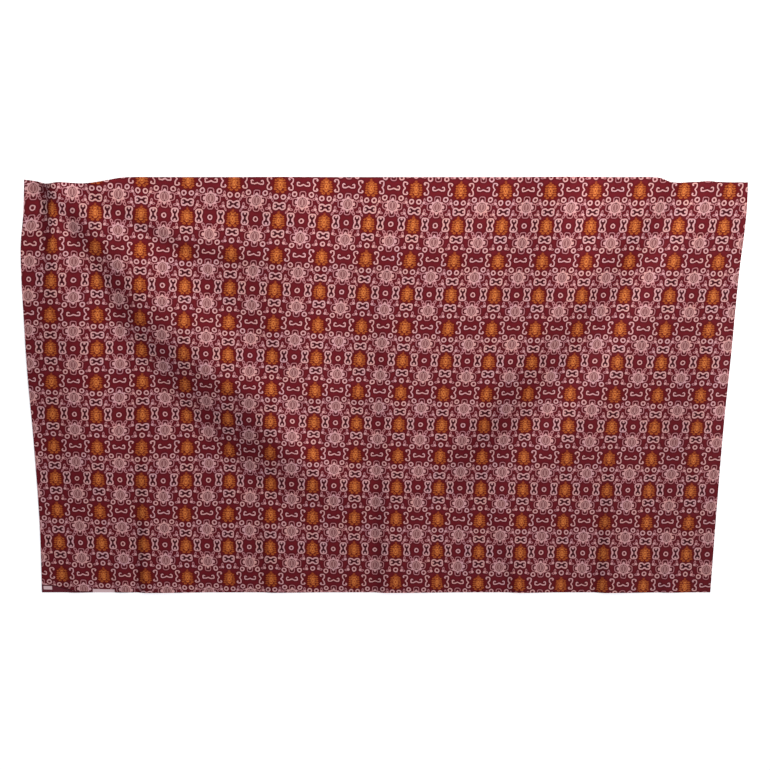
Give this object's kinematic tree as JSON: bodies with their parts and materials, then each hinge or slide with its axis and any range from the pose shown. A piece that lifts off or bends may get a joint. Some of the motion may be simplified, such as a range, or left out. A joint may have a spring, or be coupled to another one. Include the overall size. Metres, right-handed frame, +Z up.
{
  "type": "sarong",
  "caption": "Single rectangular length of printed cotton cloth, laid out flat with soft swagged folds and pressed creases, to be worn wrapped round the waist.",
  "frame": {"origin": "centre of the cloth's bounding rectangle, on the surface that it lies on", "axes": "+X along the cloth from the left cut end to the right one, +Y towards the upper selvedge, +Z up, out of the cloth's face"},
  "size_m": [1.898, 1.136, 0.0342],
  "materials": {
    "printed_cotton": "matt plain weave, printed in pink line and orange on maroon"
  },
  "bodies": {
    "root": {"sarong_cloth": "printed_cotton"}
  },
  "joints": []
}
